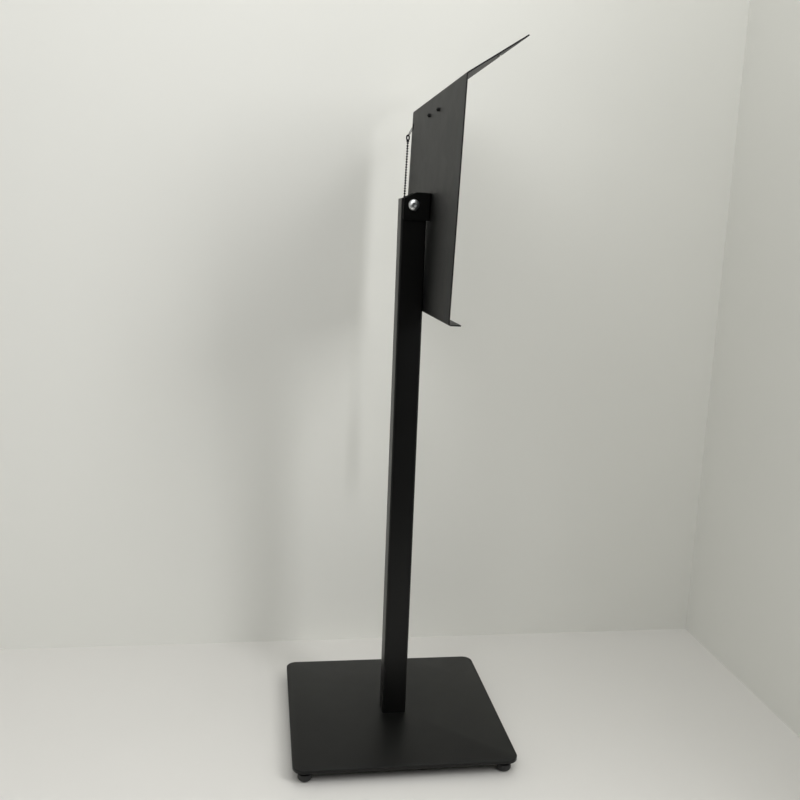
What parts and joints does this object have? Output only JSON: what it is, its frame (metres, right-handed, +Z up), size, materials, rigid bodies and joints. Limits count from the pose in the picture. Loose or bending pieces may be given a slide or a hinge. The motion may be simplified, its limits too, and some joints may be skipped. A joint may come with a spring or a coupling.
{
  "type": "sign stand",
  "caption": "Floor sign stand: square base on levelling feet, square post, and a folded sheet head that tilts from upright to flat, with a paper clip and a pen on a chain.",
  "frame": {"origin": "on the floor under the centre of the square base", "axes": "+Z up, -Y towards the reader in front of the sign, +X to the reader's right"},
  "size_m": [0.4411, 0.355, 1.0963],
  "materials": {
    "powder_coat": "satin black powder coat with a fine texture",
    "foot_plastic": "matte black moulded polymer",
    "zinc_steel": "zinc-plated steel",
    "black_steel": "black-oxide steel",
    "plain_steel": "plain machined steel",
    "nylon": "black glass-filled nylon",
    "bolt_steel": "bright zinc-plated socket bolt",
    "clip_paint": "semi-gloss black enamel",
    "spring_steel": "nickel-plated spring steel",
    "grip_rubber": "matte black rubber",
    "magnet_nickel": "nickel-plated magnet",
    "chain_metal": "black-nickel ball chain",
    "pen_plastic": "gloss black moulded plastic",
    "pen_metal": "polished nickel",
    "refill_brass": "drawn brass tube with a steel ball point"
  },
  "bodies": {
    "stand": {"base_plate": "powder_coat", "base_screws": "zinc_steel", "foot_weld_nuts": "black_steel", "post_tube": "powder_coat", "post_foot_block": "plain_steel", "pivot_block": "nylon", "friction_washers": "nylon", "pivot_bolt": "bolt_steel", "pivot_washer": "zinc_steel", "pivot_lock_nut": "zinc_steel"},
    "head": {"tilt_bracket": "powder_coat", "bracket_screws": "black_steel", "sign_panel": "powder_coat", "card_magnets": "magnet_nickel", "clip_base": "clip_paint", "clip_pin": "spring_steel", "clip_spring": "spring_steel", "clip_screws": "black_steel", "clip_nuts": "black_steel"},
    "clip": {"clip_jaw": "clip_paint", "clip_grip": "grip_rubber"},
    "tether": {"tether_ring": "chain_metal", "tether_clasp": "chain_metal", "ball_chain": "chain_metal", "chain_socket": "chain_metal", "pen_plug": "pen_plastic", "pen_barrel": "pen_plastic", "pen_nose": "pen_metal", "pen_refill": "refill_brass"},
    "foot_front_left": {"foot_pad_front_left": "foot_plastic", "foot_stud_front_left": "zinc_steel"},
    "foot_rear_left": {"foot_pad_rear_left": "foot_plastic", "foot_stud_rear_left": "zinc_steel"},
    "foot_front_right": {"foot_pad_front_right": "foot_plastic", "foot_stud_front_right": "zinc_steel"},
    "foot_rear_right": {"foot_pad_rear_right": "foot_plastic", "foot_stud_rear_right": "zinc_steel"}
  },
  "joints": [
    {"name": "head_tilt", "type": "hinge", "parent": "stand", "child": "head", "pos_m": [0, 0.0015, 0.877], "axis": [-1, 0, 0], "range_deg": [0, 90]},
    {"name": "clip_open", "type": "hinge", "parent": "head", "child": "clip", "pos_m": [0, -0.03921, 1.01748], "axis": [-1, 0, 0], "range_deg": [0, 35], "stiffness_Nm_per_rad": 0.4, "springref_deg": -20.05, "deforming": ["clip_spring"]},
    {"name": "tether_swing", "type": "hinge", "parent": "head", "child": "tether", "pos_m": [0.2045, -0.03021, 1.01772], "axis": [-1, 0, 0], "range_deg": [-90, 0]},
    {"name": "foot_front_left_level", "type": "slide", "parent": "stand", "child": "foot_front_left", "axis": [0, 0, -1], "range_m": [0, 0.004]},
    {"name": "foot_rear_left_level", "type": "slide", "parent": "stand", "child": "foot_rear_left", "axis": [0, 0, -1], "range_m": [0, 0.004]},
    {"name": "foot_front_right_level", "type": "slide", "parent": "stand", "child": "foot_front_right", "axis": [0, 0, -1], "range_m": [0, 0.004]},
    {"name": "foot_rear_right_level", "type": "slide", "parent": "stand", "child": "foot_rear_right", "axis": [0, 0, -1], "range_m": [0, 0.004]}
  ],
  "couplings": [
    {"joint": "tether_swing", "follows": "head_tilt", "ratio": -1}
  ]
}
